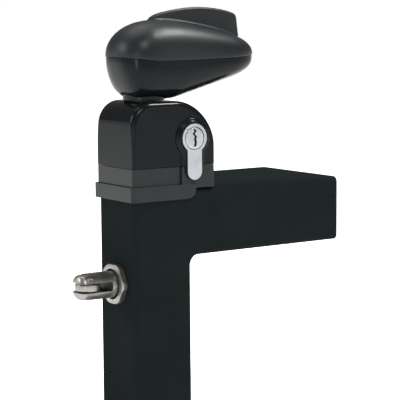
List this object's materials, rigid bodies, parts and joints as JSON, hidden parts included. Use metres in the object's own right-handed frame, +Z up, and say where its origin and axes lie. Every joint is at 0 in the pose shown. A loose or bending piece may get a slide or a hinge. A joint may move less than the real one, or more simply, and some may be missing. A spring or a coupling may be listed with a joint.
{
  "type": "turn-handle roller bolt lock on a tubular frame corner",
  "caption": "Black square-tube frame corner with a turn-handle lock, euro cylinder and a side roller bolt driven by a crank inside the post.",
  "frame": {"origin": "centre of the post tube's cut lower end", "axes": "+Z up along the post, +X along the rail away from the post, -Y the front, where the lock cylinder is"},
  "size_m": [0.178, 0.0832, 0.2413],
  "materials": {
    "powder_coat": "matte fine-texture black powder coat",
    "cast_black": "satin black painted zinc casting with crisp edges",
    "black_plastic": "semi-gloss black moulded shell",
    "grained_plastic": "fine-grained matte black moulding",
    "nickel": "satin nickel plate",
    "steel": "turned and ground steel",
    "stainless": "machined stainless steel",
    "zinc": "zinc-plated steel",
    "bronze": "sintered bearing bronze"
  },
  "bodies": {
    "frame": {"post_tube": "powder_coat", "rail_tube": "powder_coat", "rail_end_plate": "powder_coat", "corner_weld": "powder_coat", "collar": "cast_black", "lock_housing": "black_plastic", "housing_screw_1": "zinc", "housing_screw_2": "zinc", "collar_screw_1": "zinc", "collar_screw_2": "zinc", "plate_screw_1": "zinc", "plate_screw_2": "zinc", "bearing_plate": "zinc", "detent_ball": "steel", "detent_spring": "steel", "upper_bush": "bronze", "cylinder_body": "nickel", "cylinder_fixing_screw": "zinc", "guide_block": "zinc", "guide_screw_1": "zinc", "guide_screw_2": "zinc", "guide_bush": "stainless", "bush_nut": "steel"},
    "handle": {"handle_upper_shell": "grained_plastic", "handle_lower_shell": "black_plastic", "handle_hub": "cast_black", "handle_centre_screw": "zinc", "handle_screw_1": "zinc", "handle_screw_2": "zinc", "spindle": "steel", "lock_disc": "steel", "disc_pin": "steel", "crank": "zinc", "crank_pin": "steel", "crank_cross_pin": "steel"},
    "bolt": {"bolt": "stainless", "roller_pin": "steel", "bolt_yoke": "zinc", "yoke_screw_1": "steel", "yoke_screw_2": "steel"},
    "roller": {"bolt_roller": "stainless"},
    "plug": {"cylinder_plug": "nickel", "cylinder_cam": "steel"},
    "lock_bar": {"lock_bar": "steel"}
  },
  "joints": [
    {"name": "handle_turn", "type": "hinge", "parent": "frame", "child": "handle", "pos_m": [0, 0, 0.185], "axis": [0, 0, 1], "range_deg": [-90, 0]},
    {"name": "bolt_slide", "type": "slide", "parent": "frame", "child": "bolt", "axis": [1, 0, 0], "range_m": [0, 0.01897]},
    {"name": "roller_spin", "type": "hinge", "parent": "bolt", "child": "roller", "pos_m": [-0.04, 0, 0.08], "axis": [0, 0, 1], "continuous": true},
    {"name": "plug_turn", "type": "hinge", "parent": "frame", "child": "plug", "pos_m": [0.0205, 0, 0.165], "axis": [0, 1, 0], "range_deg": [0, 90]},
    {"name": "lock_bar_slide", "type": "slide", "parent": "frame", "child": "lock_bar", "axis": [0, 0, 1], "range_m": [0, 0.0053]}
  ],
  "couplings": [
    {"joint": "bolt_slide", "follows": "handle_turn", "m_per_rad": -0.012064},
    {"joint": "lock_bar_slide", "follows": "plug_turn", "m_per_rad": 0.0033677}
  ]
}
